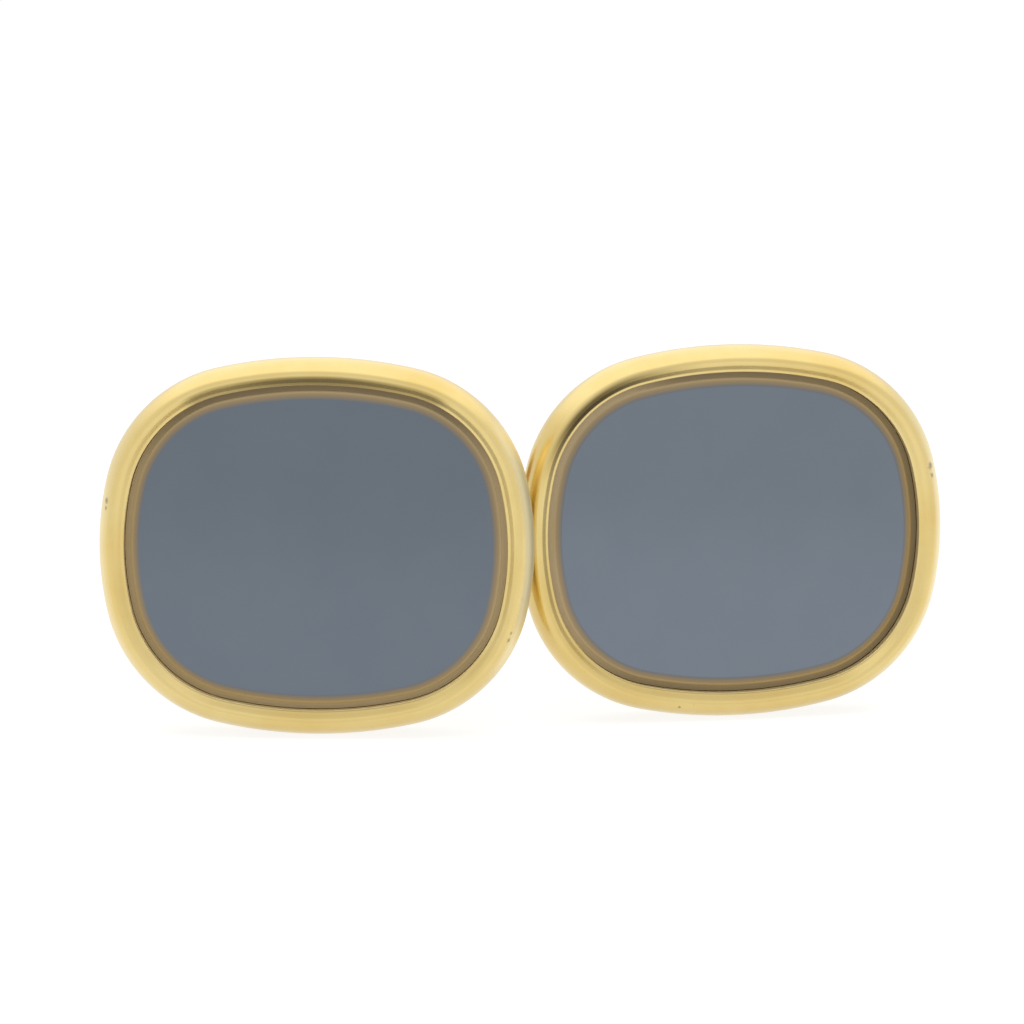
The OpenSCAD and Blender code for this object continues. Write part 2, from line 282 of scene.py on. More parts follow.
# The section, as (out from the outline, height). The slope ends in a narrow polished land, which
# lies nearly level beside the stone.
CROWN_STEPS, WALL_STEPS = 28, 34
land_depth = LIP_DEPTH - LAND_WIDTH * math.tan(INNER_SLOPE)
frame_section = [
    (-LIP_INSET, -LEDGE_DEPTH),
    (-LIP_INSET, -land_depth - 2 * LAND_FALL),
    (-LIP_INSET + LAND_FALL, -land_depth - LAND_FALL),
    (-LIP_INSET + LAND_WIDTH - LAND_FALL, -land_depth),
    (-LIP_INSET + LAND_WIDTH + LAND_FALL, -land_depth + LAND_FALL),
]
for share in (0.5, 0.75):
    run = SLOPE_WIDTH * share
    frame_section.append((-LIP_INSET + run, -LIP_DEPTH + run * math.tan(INNER_SLOPE)))
frame_section += arc((-CROWN_INSET, -CROWN_RADIUS), CROWN_RADIUS, math.pi / 2 + INNER_SLOPE, CROWN_TO_WALL,
                     CROWN_STEPS)
frame_section += arc((-WALL_RADIUS, -WALL_DEPTH), WALL_RADIUS, CROWN_TO_WALL, WALL_TO_REAR, WALL_STEPS)[1:]
rear_edge = frame_section.pop()
frame_section += [
    (rear_edge[0] + REAR_EASE * 0.5, rear_edge[1] + REAR_EASE),
    (rear_edge[0] + REAR_EASE * 0.1, rear_edge[1] + REAR_EASE * 0.3),
    (rear_edge[0] - REAR_EASE * 0.4, rear_edge[1]),
    (-RECESS_INSET + REAR_EASE, -FRAME_DEPTH),
    (-RECESS_INSET + REAR_EASE * 0.3, -FRAME_DEPTH + REAR_EASE * 0.3),
    (-RECESS_INSET, -FRAME_DEPTH + REAR_EASE),
    (-RECESS_INSET, -LEDGE_DEPTH),
]

# The section starts where the right side's arc meets the first corner, and is spun on from arc to arc
CORNER_SPIN_STEPS, LONG_SPIN_STEPS, SHORT_SPIN_STEPS = 40, 30, 20
bezel = draw_ring([
    (SHORT_CENTRE[0] + (SHORT_RADIUS + x) * math.cos(SHORT_END), (SHORT_RADIUS + x) * math.sin(SHORT_END), z)
    for x, z in frame_section
])
for mirror_x, mirror_y in ((1, 1), (-1, 1), (-1, -1), (1, -1)):
    corner = (CORNER_CENTRE[0] * mirror_x, CORNER_CENTRE[1] * mirror_y, 0.0)
    spins = [(corner, LONG_END - SHORT_END, CORNER_SPIN_STEPS)]
    if mirror_x == mirror_y:
        spins.append(((0.0, LONG_CENTRE[1] * mirror_y, 0.0), math.pi - 2 * LONG_END, LONG_SPIN_STEPS))
    else:
        spins.append(((SHORT_CENTRE[0] * mirror_x, 0.0, 0.0), 2 * SHORT_END, SHORT_SPIN_STEPS))
    for centre, turn, steps in spins:
        bpy.ops.mesh.spin(steps=steps, angle=turn, center=centre, axis=(0.0, 0.0, -1.0))
close_piece(merge=1e-4)


def inset_at(x, y):
    """How far a point of the head lies inside its outline, in millimetres."""
    x, y = abs(x), abs(y)
    turn = math.atan2(y - CORNER_CENTRE[1], x - CORNER_CENTRE[0])
    if turn < SHORT_END:
        return SHORT_RADIUS - math.hypot(x - SHORT_CENTRE[0], y - SHORT_CENTRE[1])
    if turn > LONG_END:
        return LONG_RADIUS - math.hypot(x - LONG_CENTRE[0], y - LONG_CENTRE[1])
    return CORNER_RADIUS - math.hypot(x - CORNER_CENTRE[0], y - CORNER_CENTRE[1])


def turn_at(x, y):
    """The turn of a point round the head, in degrees clockwise from the top."""
    return math.degrees(math.atan2(x, y))


def section_length(inset, depth):
    """Length along the frame's section, from where the wall runs into the crown, growing to the lip."""
    on_wall = math.atan2(WALL_DEPTH - depth, WALL_RADIUS - inset)
    if on_wall < CROWN_TO_WALL:
        return WALL_RADIUS * (on_wall - CROWN_TO_WALL)
    return CROWN_RADIUS * (math.atan2(CROWN_RADIUS - depth, CROWN_INSET - inset) - CROWN_TO_WALL)


def soft_step(value, start, end):
    """0 before the start, 1 past the end, and an even curve between them."""
    share = min(max((value - start) / (end - start), 0.0), 1.0)
    return share * share * (3.0 - 2.0 * share)


def bottom_painted_shade(turn, inset):
    """Painted shade on the inner slope under the stone, where it darkens the reflection there."""
    return 0.42 * soft_step(abs(turn), 112.0, 155.0) * soft_step(inset, 0.68, 0.82)


def left_tarnish(turn, inset):
    """Painted shade on the left frame's inner slope: a dark reflection over the top of the stone, and dimmer under
    it.
    """
    reach = 1.0 - soft_step(abs(turn), 38.0, 44.0)
    top = reach * (0.78 - 0.25 * soft_step(abs(turn), 5.0, 36.0)) * soft_step(inset, 0.62, 0.78)
    return top + bottom_painted_shade(turn, inset)


def right_tarnish(turn, inset):
    """Painted shade on the right frame's upper left: a streak of dark reflection that stays clear of the lip, and
    dimmer under the stone.
    """
    streak = soft_step(turn, -76.0, -52.0) * (1.0 - soft_step(turn, -46.0, -8.0))
    streak *= soft_step(inset, 0.48, 0.72) * (1.0 - soft_step(inset, 0.96, 1.01))
    return streak + bottom_painted_shade(turn, inset)


def left_wear(turn, inset):
    """Painted pale sheen on the left frame's rim at its sides, most where the frames touch."""
    side = 0.35 * soft_step(abs(turn), 45.0, 70.0) * (1.0 - soft_step(abs(turn), 110.0, 135.0))
    touching = soft_step(turn, 50.0, 65.0) * (1.0 - soft_step(turn, 115.0, 130.0))
    return max(side * (1.0 - soft_step(inset, 0.05, 0.55)), touching * (1.0 - soft_step(inset, 0.2, 0.45)))


def right_wear(turn, inset):
    """Painted pale sheen on the right frame's rim at its right side."""
    side = 0.8 * soft_step(turn, 45.0, 70.0) * (1.0 - soft_step(turn, 120.0, 145.0))
    return side * (1.0 - soft_step(inset, 0.05, 0.55))


def under_lip(inset, depth):
    """1 on the straight wall between the lip and the ledge, which gets a painted highlight over its shade, and 0
    elsewhere.
    """
    return 1.0 if inset > LIP_INSET - LAND_FALL / 4 and depth > land_depth + LAND_FALL * 1.5 else 0.0


def keep_numbers(model, name, numbers):
    """Keeps a number for each point of a mesh, for its material to read."""
    attribute = model.data.attributes.new(name, "FLOAT", "POINT")
    attribute.data.foreach_set("value", numbers)


# The polishing lines run along the frame, so each point knows where across the section it lies
bezel_points = [(turn_at(v.co.x, v.co.y), inset_at(v.co.x, v.co.y), -v.co.z) for v in bezel.data.vertices]
keep_numbers(bezel, "across_section", [section_length(inset, depth) for turn, inset, depth in bezel_points])
# Each point also keeps the painted shade of dark reflections on its side's inner slope
for name, painted_shade in (("left_tarnish", left_tarnish), ("right_tarnish", right_tarnish)):
    keep_numbers(bezel, name, [painted_shade(turn, inset) for turn, inset, depth in bezel_points])
# Each point also keeps the painted pale sheen of its side's rim, and a painted highlight on the wall under the lip
for name, painted_sheen in (("left_wear", left_wear), ("right_wear", right_wear)):
    keep_numbers(bezel, name, [
        max(painted_sheen(turn, inset), under_lip(inset, depth)) for turn, inset, depth in bezel_points
    ])


def kept_number(tree, name):
    """What keep_numbers kept for each point, as a material reads it."""
    return add_node(tree, "ShaderNodeAttribute", attribute_name=name).outputs["Fac"]


def place_on_object(tree):
    """Object coordinates, in metres."""
    return add_node(tree, "ShaderNodeTexCoord").outputs["Object"]


def mix_colours(tree, share, first, second, blend="MIX"):
    """The first colour with a share of the second, each a link or its red, green and blue."""
    mixed = add_node(tree, "ShaderNodeMix", {0: share}, data_type="RGBA", blend_type=blend)
    for socket, colour in ((mixed.inputs[6], first), (mixed.inputs[7], second)):
        if isinstance(colour, bpy.types.NodeSocket):
            tree.links.new(colour, socket)
        else:
            socket.default_value = (*colour, 1.0)
    return mixed.outputs[2]


def close_finish(tree, inputs):
    """Ends a material in a Principled shader with these inputs."""
    surface = add_node(tree, "ShaderNodeBsdfPrincipled", inputs)
    add_node(tree, "ShaderNodeOutputMaterial", {"Surface": surface.outputs[0]})


def new_group(name, inputs, outputs):
    """An empty shader node group, as (group, sockets that bring values in, sockets that take them out)."""
    group = bpy.data.node_groups.new(name, "ShaderNodeTree")
    for in_out, sockets in (("INPUT", inputs), ("OUTPUT", outputs)):
        for label, kind in sockets.items():
            group.interface.new_socket(label, in_out=in_out, socket_type=kind)
    return group, group.nodes.new("NodeGroupInput").outputs, group.nodes.new("NodeGroupOutput").inputs


# Polishing marks: fine crossing lines in every direction, with a wider cloudiness under them
LINE_STRETCH = 14.0
marks, marks_in, marks_out = new_group(
    "polishing_marks",
    {"Place": "NodeSocketVector", "Line scale": "NodeSocketFloat", "Cloud scale": "NodeSocketFloat"},
    {"Lines": "NodeSocketFloat", "Cloud": "NodeSocketFloat"},
)
line_fields = []
for across, angle in enumerate((0.5, -0.9, 1.9)):
    stretch = tuple(1.0 if axis == across else LINE_STRETCH for axis in range(3))
    turned_place = add_node(marks, "ShaderNodeMapping",
                            {"Vector": marks_in["Place"], "Rotation": (angle, angle * 0.7, angle),
                             "Scale": stretch})
    line_fields.append(add_node(marks, "ShaderNodeTexNoise",
                                {"Vector": turned_place.outputs[0], "Scale": marks_in["Line scale"],
                                 "Detail": 2.0, "Roughness": 0.6}).outputs[0])
crossed = calculate(marks, "ADD", calculate(marks, "ADD", line_fields[0], line_fields[1]), line_fields[2])
cloud = add_node(marks, "ShaderNodeTexNoise",
                 {"Vector": marks_in["Place"], "Scale": marks_in["Cloud scale"], "Detail": 4.0,
                  "Roughness": 0.55})
marks.links.new(calculate(marks, "DIVIDE", crossed, float(len(line_fields))), marks_out["Lines"])
marks.links.new(cloud.outputs[0], marks_out["Cloud"])

# Specks: small scattered spots, sparse and of uneven size
SPECKLESS_SHARE = 0.82
specks, specks_in, specks_out = new_group(
    "specks",
    {"Place": "NodeSocketVector", "Scale": "NodeSocketFloat", "Size": "NodeSocketFloat"},
    {"Mask": "NodeSocketFloat"},
)
speck_cells = add_node(specks, "ShaderNodeTexVoronoi",
                       {"Vector": specks_in["Place"], "Scale": specks_in["Scale"], "Randomness": 1.0})
speck_pick = add_node(specks, "ShaderNodeSeparateColor", {0: speck_cells.outputs["Color"]}).outputs[0]
speck_size = spread(specks, speck_pick, SPECKLESS_SHARE, 1.0, 0.0, specks_in["Size"])
speck_edge = calculate(specks, "SUBTRACT", speck_size, speck_cells.outputs["Distance"])
specks.links.new(spread(specks, speck_edge, 0.0, 0.05), specks_out["Mask"])
SPECK_COLOUR = (0.16, 0.12, 0.055)


def gilding(name, light, deep, roughness, line_height, speck_size):
    """Polished gilding: two golds in clouds, fine polishing lines, and a few tarnished specks."""
    finish, tree = new_finish(name)
    place = place_on_object(tree)
    polish = add_node(tree, "ShaderNodeGroup", {"Place": place, "Line scale": 2600.0, "Cloud scale": 260.0},
                      node_tree=marks).outputs
    spots = add_node(tree, "ShaderNodeGroup", {"Place": place, "Scale": 420.0, "Size": speck_size},
                     node_tree=specks).outputs
    gold = mix_colours(tree, spread(tree, polish["Cloud"], 0.35, 0.65), light, deep)
    bump = add_node(tree, "ShaderNodeBump",
                    {"Strength": 0.25, "Distance": line_height, "Height": polish["Lines"]})
    close_finish(tree, {
        "Base Color": mix_colours(tree, spots["Mask"], gold, SPECK_COLOUR),
        "Roughness": spread(tree, polish["Lines"], 0.35, 0.65, *roughness),
        "Metallic": 1.0,
        "Normal": bump.outputs[0],
        "Coat Weight": 0.3,
        "Coat Roughness": 0.06,
    })
    return finish


frame_gilding = gilding("frame_gilding", light=(0.75, 0.59, 0.25), deep=(0.70, 0.52, 0.185),
                        roughness=(0.21, 0.27), line_height=0.0000015, speck_size=0.10)
frames = put_in_place(bezel, "gilt_frame", "bezel", "cufflink", frame_gilding)

# Each frame has its own copy of the gilding, with long polishing lines, the painted shade of dark reflections on
# its side, and its painted pale sheen
PAINTED_SHADE_GOLD = (0.13, 0.090, 0.026)
SHEEN_GOLD = (1.0, 0.88, 0.54)
SHEEN_ROUGHNESS = 0.55
LINES_ALONG, LINES_ACROSS = 330.0, 7.0

# Spots of tarnish on the rims, as (across, up, behind the crown, radius) in the head
SPOT_COLOUR = (0.16, 0.13, 0.09)
SPOT_STRENGTH = 0.7
TARNISHED_SPOTS = {
    "left": (
        (-8.58, 1.95, 0.28, 0.24),
        (-8.60, 1.65, 0.27, 0.16),
        (8.00, -3.75, 0.04, 0.18),
        (8.10, -3.45, 0.04, 0.14),
    ),
    "right": (
        (8.40, 2.60, 0.12, 0.28),
        (8.45, 2.20, 0.12, 0.18),
        (-2.46, -7.25, 0.06, 0.10),
        (-1.85, -7.15, 0.04, 0.07),
    ),
}
for side, piece in frames.items():
    finish = frame_gilding.copy()
    finish.name = f"{side}_frame_gilding"
    piece.data.materials[0] = finish
    tree = finish.node_tree
    surface = tree.nodes["Principled BSDF"].inputs
    place = place_on_object(tree)
    parts = add_node(tree, "ShaderNodeSeparateXYZ", {0: place}).outputs
    drawn = add_node(tree, "ShaderNodeCombineXYZ", {
        0: calculate(tree, "MULTIPLY", parts["X"], LINES_ALONG),
        1: calculate(tree, "MULTIPLY", parts["Z"], LINES_ALONG),
        2: calculate(tree, "MULTIPLY", kept_number(tree, "across_section"), LINES_ACROSS),
    })
    lines = add_node(tree, "ShaderNodeTexNoise",
                     {"Vector": drawn.outputs[0], "Scale": 1.0, "Detail": 4.0, "Roughness": 0.6})
    shade = spread(tree, lines.outputs[0], 0.3, 0.7, 0.985, 1.015)
    painted_sheen = kept_number(tree, f"{side}_wear")
    colour = mix_colours(tree, 1.0, surface["Base Color"].links[0].from_socket, shade, blend="MULTIPLY")
    # Painted shade: dark reflections painted into the gold of the inner slope
    colour = mix_colours(tree, kept_number(tree, f"{side}_tarnish"), colour, PAINTED_SHADE_GOLD)
    # Painted pale sheen on the rims and painted highlight under the lip, with a rougher surface there
    colour = mix_colours(tree, painted_sheen, colour, SHEEN_GOLD)
    spot_noise = add_node(tree, "ShaderNodeTexNoise", {"Vector": place, "Scale": 9000.0, "Detail": 3.0})
    for x, y, depth, size in TARNISHED_SPOTS[side]:
        radius = size * MM
        centre = STANDING[side] @ Vector((x, y, -depth))
        away = add_node(tree, "ShaderNodeVectorMath", {0: place, 1: tuple(centre)}, operation="DISTANCE")
        uneven = calculate(tree, "MULTIPLY_ADD", spot_noise.outputs[0], radius, away.outputs["Value"])
        spot = spread(tree, uneven, radius * 1.25, radius * 0.75, 0.0, SPOT_STRENGTH)
        colour = mix_colours(tree, spot, colour, SPOT_COLOUR)
    tree.links.new(colour, surface["Base Color"])
    rough = spread(tree, painted_sheen, 0.0, 1.0, surface["Roughness"].links[0].from_socket, SHEEN_ROUGHNESS)
    tree.links.new(rough, surface["Roughness"])
bpy.data.materials.remove(frame_gilding)

# Stone tablets
# A flat tablet of polished blue-grey stone lies in each frame. Two narrow bevels run round its
# face, and its straight girdle sits under the frame's ledge.
SEAT_GAP = 0.03
STONE_BACK = 1.5
OUTER_BEVEL_WIDTH, OUTER_BEVEL_RISE = 0.27, 0.13
INNER_BEVEL_WIDTH, INNER_BEVEL_RISE = 0.35, 0.12
ARRIS_ROUNDING = 0.018

# The outer bevel starts one gap behind the ledge and runs on under it, down to the girdle
SEAT_INSET = RECESS_INSET + SEAT_GAP
bevel_foot = LEDGE_DEPTH + SEAT_GAP
GIRDLE_DEPTH = bevel_foot + (LIP_INSET - SEAT_INSET) * OUTER_BEVEL_RISE / OUTER_BEVEL_WIDTH
ARRIS_DEPTH = bevel_foot - OUTER_BEVEL_RISE
FACE_DEPTH = ARRIS_DEPTH - INNER_BEVEL_RISE
SHORT_STEPS, CORNER_STEPS, LONG_STEPS = 10, 38, 14


def cushion_outline(inset):
    """The points of the whole outline, drawn in by an inset."""
    quarter = arc(SHORT_CENTRE, SHORT_RADIUS - inset, 0.0, SHORT_END, SHORT_STEPS)
    quarter += arc(CORNER_CENTRE, CORNER_RADIUS - inset, SHORT_END, LONG_END, CORNER_STEPS)[1:]
    quarter += arc(LONG_CENTRE, LONG_RADIUS - inset, LONG_END, math.pi / 2, LONG_STEPS)[1:]
    half = quarter + [(-x, y) for x, y in reversed(quarter[:-1])]
    return half + [(x, -y) for x, y in reversed(half[1:-1])]


def cushion_slab(inset, front, back):
    """A flat slab of the head's shape between two depths, left in edit mode."""
    model = draw_ring([(x, y, -back) for x, y in cushion_outline(inset)])
    bpy.ops.mesh.edge_face_add()
    bpy.ops.mesh.extrude_region_move(TRANSFORM_OT_translate={"value": (0.0, 0.0, back - front)})
    return model


def select_faces(piece, test):
    """Selects only the faces of a piece in edit mode whose centres pass the test."""
    bpy.ops.mesh.select_all(action="DESELECT")
    bpy.ops.mesh.select_mode(type="FACE")
    mesh = bmesh.from_edit_mesh(piece.data)
    for face in mesh.faces:
        face.select_set(test(face.calc_center_median()))
    bmesh.update_edit_mesh(piece.data)


def select_level_edges(piece, levels):
    """Selects only the edges of a piece in edit mode that run level at one of the heights."""
    bpy.ops.mesh.select_all(action="DESELECT")
    bpy.ops.mesh.select_mode(type="EDGE")
    mesh = bmesh.from_edit_mesh(piece.data)
    for edge in mesh.edges:
        edge.select_set(any(all(abs(v.co.z - level) < 1e-3 for v in edge.verts) for level in levels))
    bmesh.update_edit_mesh(piece.data)


stone = cushion_slab(SEAT_INSET, GIRDLE_DEPTH, STONE_BACK)
bpy.ops.mesh.select_all(action="SELECT")
bpy.ops.mesh.normals_make_consistent(inside=False)
select_faces(stone, lambda centre: centre.z > -GIRDLE_DEPTH - 1e-4)
bpy.ops.mesh.inset(thickness=LIP_INSET + OUTER_BEVEL_WIDTH - SEAT_INSET, depth=GIRDLE_DEPTH - ARRIS_DEPTH,
                   use_even_offset=True)
bpy.ops.mesh.inset(thickness=INNER_BEVEL_WIDTH, depth=INNER_BEVEL_RISE, use_even_offset=True)
select_level_edges(stone, (-FACE_DEPTH, -ARRIS_DEPTH, -GIRDLE_DEPTH))
bpy.ops.mesh.bevel(offset=ARRIS_ROUNDING, segments=3, affect="EDGES")
close_piece()


def left_rim_shade(turn):
    """Painted shade on the left stone's outer bevel, darkest at the top."""
    return 0.5 + 0.42 * soft_step(abs(turn), 40.0, 75.0) * (1.0 - 0.4 * soft_step(abs(turn), 105.0, 150.0))


def right_rim_shade(turn):
    """Painted shade on the right stone's outer bevel, dark but for its left side."""
    return 0.55 + 0.40 * soft_step(-turn, 15.0, 45.0) * (1.0 - soft_step(-turn, 120.0, 150.0))


# Each point of the tablet knows how far inside the frame's lip it lies, and how much painted shade its rim gets
# there
keep_numbers(stone, "inside_lip", [inset_at(v.co.x, v.co.y) - LIP_INSET for v in stone.data.vertices])
for name, rim in (("left_rim_shade", left_rim_shade), ("right_rim_shade", right_rim_shade)):
    keep_numbers(stone, name, [rim(turn_at(v.co.x, v.co.y)) for v in stone.data.vertices])

# Bands of the bevels, as (distance inside the lip, colour). They are painted reflections of the gilding beside
# them, so they are warmer and paler than the face.
PAINTED_BEVEL_REFLECTIONS = (
    (0.000, (0.80, 0.64, 0.40)),
    (0.030, (0.55, 0.44, 0.29)),
    (0.060, (0.41, 0.340, 0.275)),
    (0.140, (0.39, 0.345, 0.335)),
    (0.230, (0.42, 0.360, 0.300)),
    (0.270, (0.38, 0.300, 0.190)),
    (0.310, (0.38, 0.290, 0.165)),
    (0.390, (0.300, 0.222, 0.116)),
    (0.470, (0.256, 0.197, 0.125)),
    (0.560, (0.195, 0.177, 0.155)),
    (0.620, (0.150, 0.162, 0.175)),
)
BEVEL_ROUGHNESS, FACE_ROUGHNESS = 0.24, (0.03, 0.06)
FACE_START = OUTER_BEVEL_WIDTH + INNER_BEVEL_WIDTH
ARRIS_BLEND = 0.02


def polished_stone(name, light, deep, rim_shade):
    """Mirror-polished stone: a faint cloud in its face, and bevels in bands of painted reflection, with painted
    shade on the outer one.
    """
    finish, tree = new_finish(name)
    grain = add_node(tree, "ShaderNodeGroup",
                     {"Place": place_on_object(tree), "Line scale": 1800.0, "Cloud scale": 420.0},
                     node_tree=marks).outputs
    face = mix_colours(tree, spread(tree, grain["Cloud"], 0.3, 0.7), light, deep)
    inside = kept_number(tree, "inside_lip")
    on_face = spread(tree, inside, FACE_START - ARRIS_BLEND, FACE_START + ARRIS_BLEND)
    bands = add_node(tree, "ShaderNodeValToRGB", {0: inside})
    stops = bands.color_ramp.elements
    for distance, band_colour in PAINTED_BEVEL_REFLECTIONS[2:]:
        stops.new(distance)
    for stop, (distance, band_colour) in zip(stops, PAINTED_BEVEL_REFLECTIONS):
        stop.position = distance
        stop.color = (*band_colour, 1.0)
    # The outer bevel is darkened by its painted shade
    past_rim = spread(tree, inside, OUTER_BEVEL_WIDTH - ARRIS_BLEND, OUTER_BEVEL_WIDTH + 3 * ARRIS_BLEND)
    shade = spread(tree, past_rim, 0.0, 1.0, kept_number(tree, rim_shade), 1.0)
    bevels = mix_colours(tree, 1.0, bands.outputs[0], shade, blend="MULTIPLY")
    polish = spread(tree, grain["Lines"], 0.35, 0.65, *FACE_ROUGHNESS)
    close_finish(tree, {
        "Base Color": mix_colours(tree, on_face, bevels, face),
        "Roughness": spread(tree, on_face, 0.0, 1.0, BEVEL_ROUGHNESS, polish),
        "Metallic": 1.0,
    })
    return finish


left_stone = polished_stone("left_polished_stone", light=(0.138, 0.164, 0.196), deep=(0.144, 0.170, 0.201),
                            rim_shade="left_rim_shade")
right_stone = polished_stone("right_polished_stone", light=(0.162, 0.189, 0.225), deep=(0.168, 0.195, 0.231),
                             rim_shade="right_rim_shade")
tablets = put_in_place(stone, "stone_tablet", "stone", "cufflink", left_stone, smooth=12.0)
tablets["right"].data.materials[0] = right_stone

# Back plates
# A flat gilt plate closes the back of each frame. It is let into the recess and held by the frame's
# rear edge. Its edges are eased, and its back keeps the fine marks of the last polish.
PLATE_SINK, PLATE_THICKNESS = 0.1, 0.6
PLATE_BACK = FRAME_DEPTH - PLATE_SINK
PLATE_FRONT = PLATE_BACK - PLATE_THICKNESS
PLATE_EASE = 0.05

back_plate = cushion_slab(SEAT_INSET, PLATE_FRONT, PLATE_BACK)
select_level_edges(back_plate, (-PLATE_FRONT, -PLATE_BACK))
bpy.ops.mesh.bevel(offset=PLATE_EASE, segments=3, affect="EDGES")
close_piece()

back_gilding = gilding("back_gilding", light=(0.74, 0.55, 0.22), deep=(0.66, 0.46, 0.15),
                       roughness=(0.20, 0.34), line_height=0.000006, speck_size=0.05)
put_in_place(back_plate, "rear_plate", "back_plate", "cufflink", back_gilding)

# Feet
# A round turned pad of gilt brass is soldered to the middle of each back plate and carries the yoke.
# The solder flares out round its base, and its rim is rounded.
FOOT_RADIUS, FOOT_THICKNESS = 2.9, 0.5
FOOT_BACK = PLATE_BACK + FOOT_THICKNESS
SOLDER_FLARE, FOOT_ROUNDING = 0.12, 0.12
TURNING_STEPS = 128


def turn_round():
    """Spins the selected profile once round the z axis and closes the piece."""
    bpy.ops.mesh.spin(steps=TURNING_STEPS, angle=2 * math.pi, center=(0.0, 0.0, 0.0), axis=(0.0, 0.0, -1.0))
    close_piece()


def turn_profile(points):
    """A solid turned about z from a profile of (radius, height) points that starts and ends on z."""
    model = draw_ring([(radius, 0.0, height) for radius, height in points])
    bpy.ops.mesh.select_all(action="DESELECT")
    bpy.ops.mesh.select_mode(type="EDGE")
    mesh = bmesh.from_edit_mesh(model.data)
    for edge in mesh.edges:
        edge.select_set({vert.index for vert in edge.verts} == {0, len(points) - 1})
    bmesh.update_edit_mesh(model.data)
    bpy.ops.mesh.delete(type="EDGE")
    bpy.ops.mesh.select_all(action="SELECT")
    turn_round()
    return model


rim_centre = (FOOT_RADIUS - SOLDER_FLARE - FOOT_ROUNDING, -FOOT_BACK + FOOT_ROUNDING)
foot_profile = [(0.0, -PLATE_BACK)]
foot_profile += arc((FOOT_RADIUS, -PLATE_BACK - SOLDER_FLARE), SOLDER_FLARE, math.pi / 2, math.pi, steps=6)
foot_profile += arc(rim_centre, FOOT_ROUNDING, 0.0, -math.pi / 2, steps=6)
foot = turn_profile(foot_profile + [(0.0, -FOOT_BACK)])
put_in_place(foot, "round_foot", "foot", "cufflink", back_gilding)

# Yokes
# One strap of gilt brass is bent to a U, and its two arms carry the pivot. The bridge is soldered to
# the foot. The arms end in half rounds about the pin's holes, and every edge is eased.
STRAP_WIDTH, STRAP_THICKNESS = 3.0, 0.7
BEND_INNER = 0.8
STRAP_EASE = 0.1
BAR_RADIUS, ARM_GAP = 2.25, 0.12
PIN_RADIUS, RIVET_GAP = 0.7, 0.01
BRIDGE_BACK = FOOT_BACK + STRAP_THICKNESS
ARM_OUT = BAR_RADIUS + ARM_GAP + STRAP_THICKNESS


def apply_modifier(piece, kind, **settings):
    """Adds a modifier with its settings and applies it at once."""
    pick_up(piece)
    bpy.ops.object.modifier_add(type=kind)
    modifier = piece.modifiers[-1]
    for name, value in settings.items():
        setattr(modifier, name, value)
    bpy.ops.object.modifier_apply(modifier=modifier.name)


def drill_across(piece, radius, length, height):
    """Drills a hole from side to side through a piece."""
    start_piece()
    bpy.ops.mesh.primitive_cylinder_add(vertices=64, radius=radius, depth=length, location=(0.0, 0.0, height),
                                        rotation=(0.0, math.pi / 2, 0.0))
    drill = bpy.context.object
    apply_modifier(piece, "BOOLEAN", object=drill, operation="DIFFERENCE", solver="EXACT")
    bpy.data.objects.remove(drill)


def ease_edges(piece, width, segments):
    """Rounds every sharp edge of a piece a little."""
    apply_modifier(piece, "BEVEL", width=width, segments=segments, limit_method="ANGLE",
                   angle_limit=math.radians(50))


# One arm is cut out with its half-round end, and its open end is spun into the bend and drawn to the middle
bend_x, bend_z = ARM_OUT - STRAP_THICKNESS - BEND_INNER, -BRIDGE_BACK - BEND_INNER
arm_shape = [(STRAP_WIDTH / 2, bend_z)]
arm_shape += arc((0.0, -PIVOT_DEPTH), STRAP_WIDTH / 2, 0.0, -math.pi, steps=40)
arm_shape += [(-STRAP_WIDTH / 2, bend_z)]
yoke = draw_ring([(ARM_OUT, y, z) for y, z in arm_shape])
bpy.ops.mesh.edge_face_add()
bpy.ops.mesh.extrude_region_move(TRANSFORM_OT_translate={"value": (-STRAP_THICKNESS, 0.0, 0.0)})
select_faces(yoke, lambda centre: abs(centre.z - bend_z) < 1e-4)
bpy.ops.mesh.delete(type="ONLY_FACE")
select_level_edges(yoke, (bend_z,))
bpy.ops.mesh.spin(steps=12, angle=math.pi / 2, center=(bend_x, 0.0, bend_z), axis=(0.0, 1.0, 0.0))
bpy.ops.mesh.extrude_region_move(TRANSFORM_OT_translate={"value": (-bend_x, 0.0, 0.0)})
close_piece()
apply_modifier(yoke, "MIRROR", use_axis=(True, False, False), use_clip=True, merge_threshold=1e-4)
drill_across(yoke, PIN_RADIUS + RIVET_GAP, 3 * ARM_OUT, -PIVOT_DEPTH)
ease_edges(yoke, STRAP_EASE, segments=4)
put_in_place(yoke, "bent_yoke", "yoke", "cufflink", back_gilding)

# Pivot pins
# A gilt pin runs through both arms and the bar. Each of its ends is hammered over into a low dome,
# which keeps it in the yoke.
PIN_HEAD_RADIUS, PIN_HEAD_HEIGHT, PIN_HEAD_RIM = 1.1, 0.3, 0.05
PIN_PLACE = Matrix.Translation((0.0, 0.0, -PIVOT_DEPTH)) @ Matrix.Rotation(math.pi / 2, 4, "Y")

